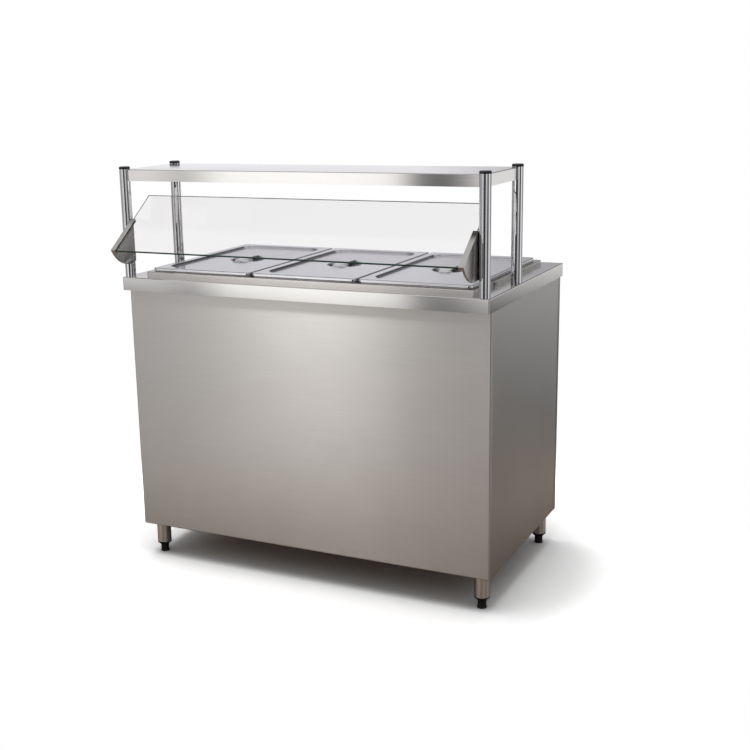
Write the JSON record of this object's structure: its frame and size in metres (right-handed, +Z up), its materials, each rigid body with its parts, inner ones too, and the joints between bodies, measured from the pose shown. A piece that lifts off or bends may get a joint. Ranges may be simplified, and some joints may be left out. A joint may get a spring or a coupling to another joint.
{
  "type": "bain marie counter",
  "caption": "Free-standing stainless bain marie counter with lidded gastronorm pans in a water well, an overshelf on posts, a sloped sneeze glass and a cupboard below.",
  "frame": {"origin": "on the floor, under the middle of the whole counter with its sneeze glass", "axes": "+X along the counter to the customer's right as the front is looked at, +Y from the customer's side to the server's side, +Z up"},
  "size_m": [1.11, 0.7416, 1.173],
  "materials": {
    "satin_steel": "stainless sheet with a fine satin grain",
    "polished_steel": "polished stainless steel",
    "black_plastic": "black moulded plastic",
    "knob_plastic": "black phenolic, slightly glossy",
    "rocker_red": "red translucent rocker",
    "lamp_amber": "amber lens",
    "chrome_trim": "plated",
    "clear_glass": "clear toughened glass with green edges",
    "seal_rubber": "soft black glazing strip",
    "nylon": "natural nylon",
    "track_aluminium": "plain extruded aluminium",
    "fastener_steel": "stainless fasteners",
    "element_alloy": "dark heating-element sheath",
    "valve_brass": "plain brass"
  },
  "bodies": {
    "cabinet": {"cable_gland": "black_plastic", "control_fascia": "satin_steel", "cupboard_ceiling": "satin_steel", "cupboard_floor": "satin_steel", "door_head": "track_aluminium", "door_sill": "track_aluminium", "drain_outlet": "valve_brass", "drain_valve_body": "valve_brass", "foot_inserts": "black_plastic", "frame_bolts": "fastener_steel", "front_panel": "satin_steel", "glass_bracket_left": "polished_steel", "glass_bracket_right": "polished_steel", "glass_seals": "seal_rubber", "heating_elements": "element_alloy", "lamp_bezel": "chrome_trim", "lamp_lens": "lamp_amber", "leg_front_left": "polished_steel", "leg_front_right": "polished_steel", "leg_rear_left": "polished_steel", "leg_rear_right": "polished_steel", "overshelf": "satin_steel", "pan_dividers": "satin_steel", "panel_screws": "fastener_steel", "post_caps": "black_plastic", "post_front_left": "polished_steel", "post_front_right": "polished_steel", "post_rear_left": "polished_steel", "post_rear_right": "polished_steel", "rear_upright_left": "satin_steel", "rear_upright_right": "satin_steel", "side_panel_left": "satin_steel", "side_panel_right": "satin_steel", "sneeze_glass": "clear_glass", "switch_housing": "black_plastic", "thermostat_body": "black_plastic", "well_frame": "satin_steel", "well_tank": "satin_steel", "worktop": "satin_steel"},
    "door_left": {"door_left": "satin_steel", "door_shoes_left": "nylon"},
    "door_right": {"door_right": "satin_steel", "door_shoes_right": "nylon"},
    "pan_left": {"pan_left": "polished_steel"},
    "lid_left": {"lid_left": "polished_steel", "lid_handle_left": "polished_steel"},
    "pan_centre": {"pan_centre": "polished_steel"},
    "lid_centre": {"lid_centre": "polished_steel", "lid_handle_centre": "polished_steel"},
    "pan_right": {"pan_right": "polished_steel"},
    "lid_right": {"lid_right": "polished_steel", "lid_handle_right": "polished_steel"},
    "thermostat_knob": {"thermostat_knob": "knob_plastic"},
    "switch_rocker": {"switch_rocker": "rocker_red"},
    "drain_lever": {"drain_lever": "chrome_trim", "drain_ball": "chrome_trim"},
    "foot_front_left": {"foot_front_left": "black_plastic"},
    "foot_rear_left": {"foot_rear_left": "black_plastic"},
    "foot_front_right": {"foot_front_right": "black_plastic"},
    "foot_rear_right": {"foot_rear_right": "black_plastic"}
  },
  "joints": [
    {"name": "door_left_slide", "type": "slide", "parent": "cabinet", "child": "door_left", "axis": [1, 0, 0], "range_m": [0, 0.4788]},
    {"name": "door_right_slide", "type": "slide", "parent": "cabinet", "child": "door_right", "axis": [1, 0, 0], "range_m": [-0.4788, 0]},
    {"name": "pan_left_lift", "type": "slide", "parent": "cabinet", "child": "pan_left", "axis": [0, 0, 1], "range_m": [0, 0.105]},
    {"name": "lid_left_lift", "type": "slide", "parent": "pan_left", "child": "lid_left", "axis": [0, 0, 1], "range_m": [0, 0.05]},
    {"name": "pan_centre_lift", "type": "slide", "parent": "cabinet", "child": "pan_centre", "axis": [0, 0, 1], "range_m": [0, 0.105]},
    {"name": "lid_centre_lift", "type": "slide", "parent": "pan_centre", "child": "lid_centre", "axis": [0, 0, 1], "range_m": [0, 0.05]},
    {"name": "pan_right_lift", "type": "slide", "parent": "cabinet", "child": "pan_right", "axis": [0, 0, 1], "range_m": [0, 0.105]},
    {"name": "lid_right_lift", "type": "slide", "parent": "pan_right", "child": "lid_right", "axis": [0, 0, 1], "range_m": [0, 0.05]},
    {"name": "thermostat_turn", "type": "hinge", "parent": "cabinet", "child": "thermostat_knob", "pos_m": [-0.39, 0.33817, 0.708], "axis": [0, -1, 0], "range_deg": [0, 270]},
    {"name": "switch_rock", "type": "hinge", "parent": "cabinet", "child": "switch_rocker", "pos_m": [-0.225, 0.33877, 0.708], "axis": [-1, 0, 0], "range_deg": [0, 24]},
    {"name": "drain_valve_turn", "type": "hinge", "parent": "cabinet", "child": "drain_lever", "pos_m": [0.39, 0.04277, 0.586], "axis": [0, 1, 0], "range_deg": [0, 90]},
    {"name": "foot_front_left_level", "type": "slide", "parent": "cabinet", "child": "foot_front_left", "axis": [0, 0, -1], "range_m": [0, 0.02]},
    {"name": "foot_rear_left_level", "type": "slide", "parent": "cabinet", "child": "foot_rear_left", "axis": [0, 0, -1], "range_m": [0, 0.02]},
    {"name": "foot_front_right_level", "type": "slide", "parent": "cabinet", "child": "foot_front_right", "axis": [0, 0, -1], "range_m": [0, 0.02]},
    {"name": "foot_rear_right_level", "type": "slide", "parent": "cabinet", "child": "foot_rear_right", "axis": [0, 0, -1], "range_m": [0, 0.02]}
  ]
}
